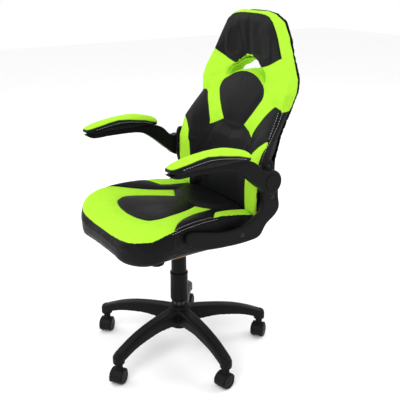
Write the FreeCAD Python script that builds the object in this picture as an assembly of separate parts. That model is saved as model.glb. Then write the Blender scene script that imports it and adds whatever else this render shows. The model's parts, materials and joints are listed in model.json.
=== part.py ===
import FreeCAD
import Part
import math
import os

Vec = FreeCAD.Vector
up = Vec(0, 0, 1)
across = Vec(1, 0, 0)
origin = Vec(0, 0, 0)

# Frame: millimetres, +Z up, the sitter faces -Y, the sitter's left is +X.
# The origin lies on the floor, on the axis of the gas column.

# Running gaps
shaft_gap = 0.05
body_gap = 0.6

# Five-arm base
arm_count = 5
first_arm_angle = -73.2
stem_circle_radius = 300.0
socket_bottom = 68.0
socket_radius = 20.0
hub_bottom = 81.0
hub_top = 166.0
wall = 4.0

# Casters
wheel_radius = 25.0
wheel_width = 17.0
wheel_offset = 7.2
caster_trail = 7.0
stem_radius = 5.5
axle_radius = 3.0
fender_radius = 28.8
caster_headings = (-54.0, -78.0, -54.0, -48.0, -45.0)

# Gas column
column_radius = 22.5
column_wall = 2.0
column_bottom = 76.0
column_top = 266.0
clip_height = 72.0
cylinder_radius = 14.0
cylinder_bottom = 215.0
cylinder_top = 408.0
rod_radius = 5.0
pin_radius = 3.0
lower_cover_bottom = 185.0
cover_joint = 292.0
upper_cover_top = 372.0

# Tilt mechanism
pivot_y = -30.0
pivot_z = 395.0
pivot_radius = 5.0
housing_half_width = 48.0
housing_floor = 375.0
steel = 3.0
tension_y = -88.0
knob_bottom = 340.0
knob_top = 370.0
knob_radius = 27.5
shelf_height = 422.0
lever_pivot_x = -30.0
lever_height = 419.0
board_bottom = 450.0
screw_top = 461.0

# Seat
board_thickness = 12.0
rail_inner = 178.0
rail_outer = 202.0

# Back
back_foot = 500.0
wing_top = 784.0
full_bolster = ((0.56, 0.36), (0.72, 0.93))
half_bolster = ((0.60, 0.40), (0.80, 0.95))
no_bolster = ((0.62, 0.35), (0.84, 0.86))
shell_margin = 44.0
cover_depth = 9.0

# Side brackets and armrests
bracket_inner = 246.0
bracket_outer = 263.0
arm_outer = 298.0
arm_axis_y = 163.0
arm_axis_z = 670.0
arm_hub_radius = 39.0
arm_pin_radius = 6.0
pad_x = 284.0
bolt_radius = 4.0
bolt_head_radius = 7.0
seat_bolt = (81.0, 500.0)
upper_bolt = (177.0, 710.0)
lower_bolt = (198.0, 605.0)
boss_radius = 13.0
boss_inner = 226.0
seat_peg = (-92.0, 520.0)
peg_radius = 9.0
peg_inner = 236.0


def rod(radius, low, high, x=0.0, y=0.0):
    """Upright round bar."""
    return Part.makeCylinder(radius, high - low, Vec(x, y, low), up)


def cross_rod(radius, left, right, y, z):
    """Round bar lying along X."""
    return Part.makeCylinder(radius, right - left, Vec(left, y, z), across)


def block(x0, x1, y0, y1, z0, z1):
    return Part.makeBox(x1 - x0, y1 - y0, z1 - z0, Vec(x0, y0, z0))


def turned(profile):
    """Solid turned about Z from (radius, height) points."""
    points = [Vec(radius, 0, height) for radius, height in profile]
    points.append(points[0])
    return Part.Face(Part.makePolygon(points)).revolve(origin, up, 360)


def smooth_loop(points):
    curve = Part.BSplineCurve()
    curve.interpolate(points, PeriodicFlag=True)
    return Part.Wire(curve.toShape())


def side_plate(outline, inner, outer):
    """Moulded plate standing in YZ, its outline a smooth closed curve of (y, z) points."""
    loop = smooth_loop([Vec(inner, y, z) for y, z in outline])
    return Part.Face(loop).extrude(Vec(outer - inner, 0, 0))


def lofted(wires):
    return Part.makeLoft(wires, True, False)


def polygon(points):
    return Part.makePolygon(points + [points[0]])


def mirrored(shape):
    """The same piece on the other side of the chair."""
    return shape.mirror(origin, across)


def turned_to(shape, angle, x=0.0, y=0.0):
    copy = shape.copy()
    copy.rotate(origin, up, angle)
    copy.translate(Vec(x, y, 0))
    return copy


def group(shapes):
    return shapes[0] if len(shapes) == 1 else Part.makeCompound(shapes)


def side_faces_rounded(plate, radius):
    """Round the rim edges of a plate that stands in YZ."""
    low = plate.BoundBox.XMin
    high = plate.BoundBox.XMax
    rim = []
    for edge in plate.Edges:
        box = edge.BoundBox
        flat = box.XMax - box.XMin < 0.01
        if flat and min(abs(box.XMin - low), abs(box.XMax - high)) < 0.01:
            rim.append(edge)
    return plate.makeFillet(radius, rim)


# ---------------------------------------------------------------- base

def arm_angle(index):
    return first_arm_angle + index * 360.0 / arm_count


def stem_place(index):
    angle = math.radians(arm_angle(index))
    return stem_circle_radius * math.cos(angle), stem_circle_radius * math.sin(angle)


def arm_section(reach, half_width, low, high, crown):
    """Cross-section of a base arm: flat below, rounded along its top edges."""
    shoulder = high - crown
    inset = half_width - crown
    ease = crown * (1 - math.sqrt(0.5))
    left = Part.Arc(Vec(reach, -half_width, shoulder),
                    Vec(reach, ease - half_width, high - ease),
                    Vec(reach, -inset, high))
    right = Part.Arc(Vec(reach, inset, high),
                     Vec(reach, half_width - ease, high - ease),
                     Vec(reach, half_width, shoulder))
    edges = [
        Part.LineSegment(Vec(reach, -half_width, low), Vec(reach, -half_width, shoulder)),
        left,
        Part.LineSegment(Vec(reach, -inset, high), Vec(reach, inset, high)),
        right,
        Part.LineSegment(Vec(reach, half_width, shoulder), Vec(reach, half_width, low)),
        Part.LineSegment(Vec(reach, half_width, low), Vec(reach, -half_width, low)),
    ]
    return Part.Wire([edge.toShape() for edge in edges])


def base_arm():
    """One arm along +X, hollow and ribbed on its underside."""
    stations = (
        (18.0, 25.0, 106.0, 156.0), (85.0, 24.0, 109.0, 154.0), (135.0, 23.0, 112.0, 150.0),
        (185.0, 22.0, 108.0, 143.0), (231.0, 21.0, 100.5, 132.0), (268.0, 20.5, 89.0, 119.0),
        (300.0, 20.0, 77.0, 106.0),
    )
    outer = lofted([arm_section(x, w, low, high, 11.0) for x, w, low, high in stations])
    inner = lofted([arm_section(x, w - wall, low - 3, high - 5, 7.0) for x, w, low, high in stations[:6]])
    nose = turned([(0, socket_bottom), (socket_radius - 2, socket_bottom), (socket_radius, socket_bottom + 3),
                   (socket_radius, 93), (socket_radius - 3.5, 101), (socket_radius - 10, 105.5), (0, 106)])
    nose.translate(Vec(stem_circle_radius, 0, 0))
    core = rod(socket_radius - 3, 60, 120, stem_circle_radius)
    for reach in (92, 128, 164, 200, 236):
        inner = inner.cut(block(reach, reach + 3, -30, 30, 60, 170))
    inner = inner.cut(block(0, 300, -1.5, 1.5, 60, 170))
    inner = inner.cut(rod(58, 60, 170)).cut(core)
    return outer.fuse(nose), inner


def star_base():
    hub = turned([(0, hub_bottom), (31, hub_bottom), (39, 86), (43, 100), (43, 130), (38, 148),
                  (35, hub_top - 2), (33, hub_top), (0, hub_top)])
    outer, pocket = base_arm()
    base = hub
    for index in range(arm_count):
        base = base.fuse(turned_to(outer, arm_angle(index)))
    for index in range(arm_count):
        base = base.cut(turned_to(pocket, arm_angle(index)))
        x, y = stem_place(index)
        base = base.cut(rod(stem_radius, 60, 96, x, y))
    base = base.cut(rod(column_radius, 60, 200))
    return base.removeSplitter()


def caster_stems():
    """Steel grip-ring stems, pressed into the arm ends."""
    stems = []
    for index in range(arm_count):
        x, y = stem_place(index)
        stems.append(rod(stem_radius, 46, 96, x, y))
    return group(stems)


def caster_hood():
    """Fork and fender of one caster; stem axis on Z, wheels trailing along +X."""
    centre = Vec(caster_trail, 0, wheel_radius)
    ring = Part.makeCylinder(fender_radius, 41, centre - Vec(0, 20.5, 0), Vec(0, 1, 0))
    ring = ring.cut(Part.makeCylinder(wheel_radius + 1.6, 60, centre - Vec(0, 30, 0), Vec(0, 1, 0)))
    below = polygon([centre, centre + Vec(60, 0, -26), centre + Vec(60, 0, -60),
                     centre + Vec(-80, 0, -60), centre + Vec(-80, 0, 8)])
    open_side = Part.Face(below).extrude(Vec(0, 60, 0))
    open_side.translate(Vec(0, -30, 0))
    ring = ring.cut(open_side)
    web = Part.makeCylinder(wheel_radius + 1.7, 10, centre - Vec(0, 5, 0), Vec(0, 1, 0))
    web = web.cut(block(-60, caster_trail + 60, -30, 30, -5, 11))
    boss = turned([(0, 44), (12, 44), (12, 62), (9, 66.5), (0, 66.5)])
    boss = boss.cut(block(-30, 30, -30, -5, 40, 49)).cut(block(-30, 30, 5, 30, 40, 49))
    wheel_space = Part.makeCylinder(wheel_radius + 1.6, 20, centre + Vec(0, 5, 0), Vec(0, 1, 0))
    far_space = Part.makeCylinder(wheel_radius + 1.6, 20, centre - Vec(0, 25, 0), Vec(0, 1, 0))
    boss = boss.cut(wheel_space).cut(far_space)
    hood = ring.fuse(web).fuse(boss).removeSplitter()
    hood = hood.cut(rod(stem_radius + shaft_gap, 45.8, 70))
    return hood.cut(Part.makeCylinder(axle_radius, 60, centre - Vec(0, 30, 0), Vec(0, 1, 0)))


def caster_axle():
    centre = Vec(caster_trail, 0, wheel_radius)
    return Part.makeCylinder(axle_radius, 46, centre - Vec(0, 23, 0), Vec(0, 1, 0))


def caster_wheel():
    """Right-hand wheel of a pair, turned about Z here and then laid over on its axle."""
    inside = wheel_offset
    outside = wheel_offset + wheel_width
    bore = axle_radius + shaft_gap
    profile = [(bore, inside), (19, inside), (19, inside + 3), (22, inside + 3), (22, inside),
               (23.5, inside), (wheel_radius, inside + 2), (wheel_radius, outside - 5),
               (24.2, outside - 2.2), (22.4, outside - 0.7), (20.5, outside), (19, outside - 0.4),
               (17.5, outside - 1.6), (8, outside - 1.2), (6.5, outside - 0.2), (0, outside - 0.2),
               (0, outside - 1.2), (bore, outside - 1.2)]
    wheel = turned(profile)
    wheel.rotate(origin, across, -90)
    wheel.translate(Vec(caster_trail, 0, wheel_radius))
    return wheel


def casters():
    made = {}
    hood = caster_hood()
    axle = caster_axle()
    wheel = caster_wheel()
    far_wheel = wheel.mirror(origin, Vec(0, 1, 0))
    for index in range(arm_count):
        x, y = stem_place(index)
        heading = caster_headings[index]
        name = "caster_%d_" % (index + 1)
        made[name + "hood"] = turned_to(hood, heading, x, y)
        made[name + "axle"] = turned_to(axle, heading, x, y)
        made[name + "wheel_left"] = turned_to(wheel, heading, x, y)
        made[name + "wheel_right"] = turned_to(far_wheel, heading, x, y)
    return made


# ---------------------------------------------------------------- gas column

def gas_tube():
    inner = column_radius - column_wall
    tube = rod(column_radius, column_bottom, column_top).cut(rod(inner, column_bottom + 3, column_top + 1))
    return tube.cut(rod(rod_radius + shaft_gap, 60, 80))


def tube_guide_bushing():
    bushing = rod(column_radius - column_wall, 200, column_top - 1)
    return bushing.cut(rod(cylinder_radius + shaft_gap, 190, 290))


def thrust_bearing():
    return rod(14, 79, 86).cut(rod(rod_radius + shaft_gap, 60, 90))


def piston_rod():
    """Rod on the column's floor, with the gas piston at its upper end."""
    piston = turned([(0, 224), (11.5, 224), (11.9, 226), (11.9, 234), (11.5, 236), (0, 236)])
    groove = turned([(4, clip_height), (8, clip_height), (8, clip_height + 1.5), (4, clip_height + 1.5)])
    return rod(rod_radius, clip_height - 2.5, 230).fuse(piston).cut(groove).removeSplitter()


def rod_clip():
    """Spring clip in the rod's groove, under the column's floor."""
    clip = rod(9, clip_height, clip_height + 1.5).cut(rod(4, 60, 90))
    return clip.cut(block(0, 20, -3, 3, 60, 90))


def pressure_tube():
    tube = rod(cylinder_radius, cylinder_bottom, cylinder_top)
    tube = tube.cut(rod(cylinder_radius - column_wall, cylinder_bottom + 6, 378))
    tube = tube.cut(rod(rod_radius + shaft_gap, 200, 230))
    return tube.cut(rod(pin_radius + shaft_gap, 384, 420))


def release_pin():
    return rod(pin_radius, 389, 413.8)


def cover_lower():
    """Outer dust sleeve of the column; its rim catches the upper sleeve."""
    return turned([(26.2, lower_cover_bottom), (29, lower_cover_bottom), (31.3, lower_cover_bottom + 8),
                   (30.6, cover_joint - 8), (31.6, cover_joint - 6), (31.6, cover_joint - 1),
                   (30.6, cover_joint), (27.2, cover_joint), (27.2, cover_joint - 2),
                   (28.4, cover_joint - 4), (28.4, lower_cover_bottom + 7), (26.2, lower_cover_bottom + 2)])


def cover_upper():
    return turned([(28.0, 276), (28.0, 279), (26.8, 281), (26.2, upper_cover_top - 4),
                   (27.0, upper_cover_top), (14.4, upper_cover_top), (14.4, upper_cover_top - 2),
                   (23.8, upper_cover_top - 2), (25.3, 300), (25.3, 276)])


# ---------------------------------------------------------------- tilt mechanism

def mechanism_housing():
    """Pressed steel box: a floor and taper socket behind, an open spring bay in front."""
    half = housing_half_width
    profile = [(-118, 392), (-60, housing_floor), (60, housing_floor), (60, 404), (16, 412), (-56, 425),
               (-118, 425)]
    cheek = Part.Face(polygon([Vec(half - steel, y, z) for y, z in profile])).extrude(Vec(steel, 0, 0))
    body = cheek.fuse(mirrored(cheek))
    body = body.fuse(block(-half, half, -60, 60, housing_floor, housing_floor + steel))
    body = body.fuse(block(-half, half, 57, 60, housing_floor, 404))
    body = body.fuse(block(-half, half, -118, -58, shelf_height, shelf_height + steel))
    body = body.fuse(block(-half, half, -118, -115, 392, 425))
    body = body.fuse(turned([(14, housing_floor), (22, housing_floor), (19, 400), (18, 406), (14, 406)]))
    for side in (-1, 1):
        lug = block(lever_pivot_x - 8, lever_pivot_x + 8, side * 13 - 1.5, side * 13 + 1.5,
                    housing_floor + steel, lever_height + 7)
        body = body.fuse(lug)
    body = body.cut(rod(cylinder_radius, 360, 415))
    body = body.cut(rod(10.6, shelf_height - 5, shelf_height + 10, 0, tension_y))
    body = body.cut(cross_rod(pivot_radius + shaft_gap, -60, 60, pivot_y, pivot_z))
    body = body.cut(Part.makeCylinder(2.5 + shaft_gap, 60, Vec(lever_pivot_x, -30, lever_height), Vec(0, 1, 0)))
    return body.cut(cross_rod(7.5, -60, -40, 0, lever_height)).removeSplitter()


def seat_plate():
    """Steel plate under the seat board, with two ears on the tilt pin."""
    plate = block(-78, 78, -112, 86, board_bottom - steel, board_bottom)
    inner = housing_half_width + 1.5
    for side in (-1, 1):
        ear = [Vec(side * inner, y, z) for y, z in ((-62, board_bottom - 2), (-42, 386), (-20, 386), (-18, board_bottom - 2))]
        plate = plate.fuse(Part.Face(polygon(ear)).extrude(Vec(side * steel, 0, 0)))
    for x, y in mechanism_bolts():
        plate = plate.cut(rod(3.3, 430, 460, x, y))
    return plate.cut(cross_rod(pivot_radius, -60, 60, pivot_y, pivot_z)).removeSplitter()


def mechanism_bolts():
    return [(x, y) for x in (-66, 66) for y in (-98, 74)]


def mechanism_screws():
    screws = []
    for x, y in mechanism_bolts():
        head = rod(6.5, board_bottom - steel - 4.5, board_bottom - steel, x, y)
        screws.append(head.fuse(rod(3, board_bottom - steel - 1, screw_top, x, y)).removeSplitter())
    return group(screws)


def tilt_pivot_pin():
    pin = cross_rod(pivot_radius, -56, 56, pivot_y, pivot_z)
    return pin.fuse(cross_rod(8, 56, 59, pivot_y, pivot_z)).removeSplitter()


def tension_bolt():
    return rod(5, 352, board_bottom - steel, 0, tension_y)


def tension_spring():
    """Barrel standing for the coil between the knob and the housing's shelf."""
    return rod(17, knob_top + 0.5, shelf_height, 0, tension_y).cut(rod(12, 360, 430, 0, tension_y))


def tension_knob():
    """Round hand knob with a fluted rim, screwed on the tension bolt."""
    knob = turned([(0, knob_bottom), (20, knob_bottom), (25, knob_bottom + 3), (knob_radius, knob_bottom + 8),
                   (knob_radius, knob_top - 6), (25, knob_top), (0, knob_top)])
    flutes = 12
    for index in range(flutes):
        angle = 2 * math.pi * index / flutes
        reach = knob_radius + 2.5
        knob = knob.cut(rod(4, 330, 366, reach * math.cos(angle), reach * math.sin(angle)))
    knob.translate(Vec(0, tension_y, 0))
    return knob.cut(rod(5 + shaft_gap, 351.5, 380, 0, tension_y))


def height_lever():
    """Bent steel rod: paddle over the release pin, cross pin in the lugs, arm out to the right."""
    paddle = block(lever_pivot_x, 7, -7, 7, 414.3, 418.3)
    bar = cross_rod(4, -176, lever_pivot_x + 8, 0, lever_height)
    pin = Part.makeCylinder(2.5, 32, Vec(lever_pivot_x, -16, lever_height), Vec(0, 1, 0))
    drop = Part.makeCylinder(4, 66, Vec(-176, 0, lever_height), Vec(-0.965, 0, -0.262))
    elbow = Part.makeSphere(4, Vec(-176, 0, lever_height))
    return bar.fuse(paddle).fuse(pin).fuse(elbow).fuse(drop).removeSplitter()


def lever_grip():
    """Flattened moulded paddle over the end of the lever."""
    stations = ((-198, 7.0, 6.0), (-206, 9.0, 7.0), (-236, 13.0, 6.5), (-262, 14.0, 5.5), (-270, 10.0, 3.5))
    wires = []
    for x, half_width, half_height in stations:
        centre_z = lever_height + (x + 176) * 0.2715
        loop = [Vec(x, half_width * math.cos(a), centre_z + half_height * math.sin(a))
                for a in [2 * math.pi * step / 12 for step in range(12)]]
        wires.append(smooth_loop(loop))
    grip = lofted(wires)
    return grip.cut(Part.makeCylinder(4, 66, Vec(-176, 0, lever_height), Vec(-0.965, 0, -0.262)))


# ---------------------------------------------------------------- seat

def seat_section(y, half, ridge, centre, low, tuck):
    """Cross-section of the seat at one y: crown, raised bolsters, sides tucked in below."""
    right = [
        (half * 0.45, centre + (ridge - centre) * 0.10), (half * 0.72, centre + (ridge - centre) * 0.55),
        (half * 0.90, ridge), (half, ridge - 9), (half - 3, ridge * 0.5 + low * 0.5),
        (half - tuck * 0.5, low + 15), (half - tuck - 6, low),
    ]
    points = [Vec(0, y, centre)] + [Vec(x, y, z) for x, z in right] + [Vec(0, y, low)]
    points += [Vec(-x, y, z) for x, z in reversed(right)]
    return polygon(points)


def seat_cushion():
    """Padded seat: waterfall front edge, bolsters along both sides."""
    stations = (
        (-293, 120, 508, 506, 462, 6), (-284, 165, 522, 519, 450, 10), (-262, 208, 537, 531, 447, 16),
        (-230, 241, 552, 542, 448, 24), (-185, 250, 567, 555, 450, 28), (-110, 246, 577, 560, 452, 28),
        (-20, 241, 576, 554, 450, 26), (70, 232, 567, 549, 451, 26), (150, 223, 553, 544, 453, 22),
        (176, 208, 545, 540, 458, 16), (184, 190, 536, 532, 468, 8),
    )
    cushion = lofted([seat_section(*station) for station in stations])
    corners = board_corners()
    well = Part.Face(polygon([Vec(x, y, 400) for x, y in corners]))
    cushion = cushion.cut(well.extrude(Vec(0, 0, board_bottom + board_thickness - 400)))
    for side in (-1, 1):
        cushion = cushion.cut(seat_rail(side))
    for tool in side_bolt_shanks() + boss_spaces():
        cushion = cushion.cut(tool)
    return cushion.cut(back_foot_space())


def back_foot_space():
    """Room behind the front of the back's foot, so that the back stands against the seat."""
    rings = []
    for row in back_rows()[:3]:
        z = row[0] - body_gap if row[0] == back_foot else row[0]
        half = [Vec(point.x + (body_gap if point.x > 0 else 0), point.y - body_gap, z) for point in front_line(row)]
        rings.append(ring_of(half + [Vec(half[-1].x, 340, z), Vec(0, 340, z)]))
    return Part.makeLoft(rings, True, True)


def board_corners():
    """Plan of the seat board."""
    return ((-190, -214), (190, -214), (206, -190), (200, 120), (184, 150), (-184, 150), (-200, 120),
            (-206, -190))


def seat_rail(side):
    """Hardwood rail along one side of the board, for the bracket bolts."""
    left, right = sorted((side * rail_inner, side * rail_outer))
    return block(left, right, -150, 110, board_bottom + board_thickness, 526)


def seat_board():
    """Plywood seat board with a hardwood rail along each side."""
    face = Part.Face(polygon([Vec(x, y, board_bottom) for x, y in board_corners()]))
    board = face.extrude(Vec(0, 0, board_thickness))
    for side in (-1, 1):
        board = board.fuse(seat_rail(side))
    for x, y in mechanism_bolts():
        board = board.cut(rod(3, 440, screw_top, x, y))
    for tool in side_bolt_shanks():
        board = board.cut(tool)
    return board.removeSplitter()


def seat_dust_cover():
    """Thin woven cloth stapled under the board, open around the mechanism plate."""
    sheet = block(-182, 182, -206, 140, board_bottom - 1.2, board_bottom)
    return sheet.cut(block(-82, 82, -116, 90, 430, 460))


# ---------------------------------------------------------------- back

def back_rows():
    """Height, centre front, ridge x, ridge y, rear edge y, centre rear, for each level of the back."""
    return (
        (back_foot, 192, 196, 172, 236, 258), (540, 186, 222, 150, 234, 266), (640, 192, 239, 146, 234, 279),
        (715, 207, 242, 149, 234, 290), (784, 224, 250, 178, 246, 303), (826, 232, 242, 209, 272, 312),
        (872, 244, 229, 243, 308, 322), (924, 265, 242, 252, 320, 335), (962, 277, 234, 261, 330, 345),
        (1027, 292, 190, 270, 347, 358), (1085, 291, 158, 278, 355, 363), (1132, 287, 127, 282, 357, 362),
        (1156, 290, 99, 292, 342, 348), (1166, 304, 68, 306, 328, 331),
    )


def front_line(row):
    """Front half-outline of a slice, from the centre to the rear of the side panel."""
    z, front, ridge_x, ridge_y, edge_y, rear = row
    rise = front - ridge_y
    bolster = full_bolster if z < wing_top - 20 else half_bolster if z <= wing_top else no_bolster
    (x_mid, y_mid), (x_side, y_side) = bolster
    return [
        Vec(0, front, z), Vec(ridge_x * 0.38, front - rise * 0.06, z),
        Vec(ridge_x * x_mid, front - rise * y_mid, z), Vec(ridge_x * x_side, front - rise * y_side, z),
        Vec(ridge_x * 0.96, ridge_y, z), Vec(ridge_x, ridge_y + 6, z),
        Vec(ridge_x - 4, (ridge_y + edge_y) / 2, z), Vec(ridge_x - 13, edge_y - 8, z),
    ]


def shell_line(row, depth):
    """Half-line across the back, depth in front of its rear surface, from the centre outwards."""
    z, front, ridge_x, ridge_y, edge_y, rear = row
    half = ridge_x - shell_margin
    return [Vec(0, rear - depth, z), Vec(half * 0.5, rear - (rear - edge_y) * 0.25 - depth, z),
            Vec(half, edge_y + 3 - depth, z)]


def rear_line(row):
    """Rear half-outline of a slice, from the side panel to the centre."""
    z, front, ridge_x, ridge_y, edge_y, rear = row
    return [Vec(ridge_x - 14, edge_y - 5, z), Vec(ridge_x - 24, edge_y, z),
            Vec(ridge_x * 0.5, rear - (rear - edge_y) * 0.30, z), Vec(0, rear, z)]


def ring_of(half):
    """Closed outline from the half with x >= 0, whose first and last points lie on the centre line."""
    left = [Vec(-point.x, point.y, point.z) for point in reversed(half[1:-1])]
    return polygon(half + left)


def cushion_slice(row):
    return ring_of(front_line(row) + list(reversed(shell_line(row, cover_depth + board_thickness + 0.6))))


def board_slice(row):
    return ring_of(shell_line(row, cover_depth + board_thickness + 0.3)
                   + list(reversed(shell_line(row, cover_depth + 0.3))))


def cover_slice(row):
    return ring_of(shell_line(row, cover_depth) + rear_line(row))


def head_opening(grow=0.0):
    """Crescent-shaped tunnel through the back, below the head pad."""
    half = 106 + grow
    peak = 67 + grow * 0.6
    low = 934 - grow
    lip = 970 - grow
    crown = 1012 + grow
    shoulder = 982 + grow
    points = [Vec(-half, 200, low), Vec(0, 200, lip), Vec(half, 200, low)]
    top = [Vec(peak, 200, shoulder), Vec(0, 200, crown), Vec(-peak, 200, shoulder)]
    edges = [
        Part.Arc(points[0], points[1], points[2]).toShape(),
        Part.Arc(points[2], Vec(half - 10, 200, low + 33), top[0]).toShape(),
        Part.Arc(top[0], top[1], top[2]).toShape(),
        Part.Arc(top[2], Vec(10 - half, 200, low + 33), points[0]).toShape(),
    ]
    return Part.Face(Part.Wire(edges)).extrude(Vec(0, 220, 0))


def back_rail(side):
    """Hardwood block that takes the bracket bolts on one side of the back."""
    left, right = sorted((side * 196, side * 218))
    return block(left, right, 168, 216, 590, 736)


def back_board():
    """Bent plywood shell with a bolt rail on each side."""
    rows = [row for row in back_rows() if 530 < row[0] < 1140]
    shell = Part.makeLoft([board_slice(row) for row in rows], True, True)
    shell = shell.cut(head_opening(3.0))
    for side in (-1, 1):
        shell = shell.fuse(back_rail(side))
    for tool in side_bolt_shanks():
        shell = shell.cut(tool)
    return shell.removeSplitter()


def back_cushion():
    cushion = Part.makeLoft([cushion_slice(row) for row in back_rows()], True, True)
    cushion = cushion.cut(head_opening())
    for side in (-1, 1):
        cushion = cushion.cut(back_rail(side))
    for tool in side_bolt_shanks() + boss_spaces():
        cushion = cushion.cut(tool)
    return cushion


def back_rear_cover():
    cover = Part.makeLoft([cover_slice(row) for row in back_rows()], True, True)
    return cover.cut(head_opening())


# ---------------------------------------------------------------- brackets and armrests

def side_bolts():
    return (seat_bolt, upper_bolt, lower_bolt)


def side_bolt_shanks():
    """Clearance bars for the side bolts of both brackets, and for the bosses round them."""
    bars = []
    for y, z in side_bolts():
        bars += both_sides(cross_rod(bolt_radius, 184, 300, y, z))
    return bars


def boss_spaces():
    spaces = []
    for y, z in side_bolts():
        spaces += both_sides(cross_rod(boss_radius + 0.3, boss_inner - 0.3, 300, y, z))
    spaces += both_sides(cross_rod(peg_radius + 0.3, peg_inner - 0.3, 300, *seat_peg))
    return spaces


def bracket():
    """L-shaped side bracket that joins the seat to the back."""
    outline = [(166, 740), (184, 735), (197, 714), (208, 672), (219, 634), (221, 602), (225, 568),
               (203, 537), (173, 515), (150, 483), (116, 474), (34, 473), (-26, 477), (-81, 487),
               (-116, 508), (-128, 530), (-118, 545), (-94, 546), (-42, 534), (0, 526), (44, 524),
               (92, 532), (130, 550), (150, 567), (157, 586), (155, 620), (148, 650), (149, 690), (153, 724)]
    plate = side_plate(outline, bracket_inner, bracket_outer)
    plate = side_faces_rounded(plate, 5.0)
    for y, z in side_bolts():
        plate = plate.fuse(cross_rod(boss_radius, boss_inner, bracket_inner + 2, y, z))
        plate = plate.cut(cross_rod(bolt_radius, 200, 300, y, z))
        plate = plate.cut(cross_rod(bolt_head_radius + 1, bracket_outer - 10, 300, y, z))
    plate = plate.fuse(cross_rod(peg_radius, peg_inner, bracket_inner + 2, *seat_peg))
    return plate.cut(cross_rod(arm_pin_radius, 200, 320, arm_axis_y, arm_axis_z)).removeSplitter()


def bracket_bolt(y, z):
    """Socket-head bolt from the bracket into the wooden rail."""
    head = cross_rod(bolt_head_radius, bracket_outer - 8, bracket_outer - 1, y, z)
    head = head.cut(cross_rod(3, bracket_outer - 5, bracket_outer, y, z))
    return head.fuse(cross_rod(bolt_radius, 190, bracket_outer - 8, y, z)).removeSplitter()


def bracket_washer(y, z):
    ring = cross_rod(bolt_head_radius + 0.8, bracket_outer - 10, bracket_outer - 8, y, z)
    return ring.cut(cross_rod(bolt_radius, 200, 300, y, z))


def both_sides(shape):
    return [shape, mirrored(shape)]


def arm_frame():
    """Moulded arm: tray under the pad, neck sweeping back and down to the hub disc."""
    outline = [(-198, 748), (-184, 741), (-140, 739), (-80, 740), (-30, 739), (18, 731), (48, 714),
               (80, 690), (110, 664), (138, 647), (166, 652), (176, 674), (162, 697), (140, 708),
               (120, 722), (102, 740), (80, 751), (40, 755), (-10, 758), (-80, 759), (-140, 757),
               (-184, 753)]
    body = side_plate(outline, bracket_outer + body_gap, arm_outer)
    hub = cross_rod(arm_hub_radius, bracket_outer + body_gap, arm_outer, arm_axis_y, arm_axis_z)
    rim = [edge for edge in hub.Edges if abs(edge.BoundBox.XMin - arm_outer) < 0.01]
    hub = hub.makeFillet(4.0, rim)
    body = body.fuse(hub)
    body = body.cut(cross_rod(arm_pin_radius + shaft_gap, 200, 320, arm_axis_y, arm_axis_z))
    body = body.cut(cross_rod(24, arm_outer - 2, 320, arm_axis_y, arm_axis_z))
    for y in (-120, 10):
        body = body.cut(rod(2.5, 700, 775, pad_x, y)).cut(rod(5, 700, 748, pad_x, y))
    return body.removeSplitter()


def pivot_pin():
    """Steel pin of one armrest, headed inside the bracket."""
    pin = cross_rod(arm_pin_radius, bracket_inner - 4, arm_outer - 2.5, arm_axis_y, arm_axis_z)
    return pin.fuse(cross_rod(11, bracket_inner - 4, bracket_inner, arm_axis_y, arm_axis_z)).removeSplitter()


def pivot_cap():
    """Snap-in cover disc on the outside of the arm's hub."""
    disc = cross_rod(24, arm_outer - 2, arm_outer + 1.5, arm_axis_y, arm_axis_z)
    rim = [edge for edge in disc.Edges if abs(edge.BoundBox.XMin - (arm_outer + 1.5)) < 0.01]
    return disc.makeFillet(1.2, rim)


def pad_section(y, half, low, high):
    """Cross-section of an arm pad: flat below, crowned above, sides rolled in."""
    tall = high - low
    right = [(half * 0.45, high - tall * 0.04), (half * 0.8, high - tall * 0.18), (half, high - tall * 0.42),
             (half, low + tall * 0.25), (half * 0.86, low)]
    points = [Vec(pad_x, y, high)] + [Vec(pad_x + x, y, z) for x, z in right]
    points += [Vec(pad_x - x, y, z) for x, z in reversed(right)]
    return polygon(points)


def arm_pad():
    stations = (
        (-204, 14, 760, 771), (-198, 24, 757, 777), (-182, 32, 755, 783), (-150, 37, 758, 791),
        (-100, 39, 760, 799.5), (-46, 39, 760.3, 804), (8, 37, 758.9, 801), (44, 33, 757, 792),
        (70, 28, 755.5, 783), (80, 18, 758, 773),
    )
    return lofted([pad_section(*station) for station in stations])


def arm_pad_screws():
    screws = []
    for y in (-120, 10):
        head = rod(4.5, 745, 748, pad_x, y)
        screws.append(head.fuse(rod(2.5, 747, 772, pad_x, y)).removeSplitter())
    return group(screws)


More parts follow.
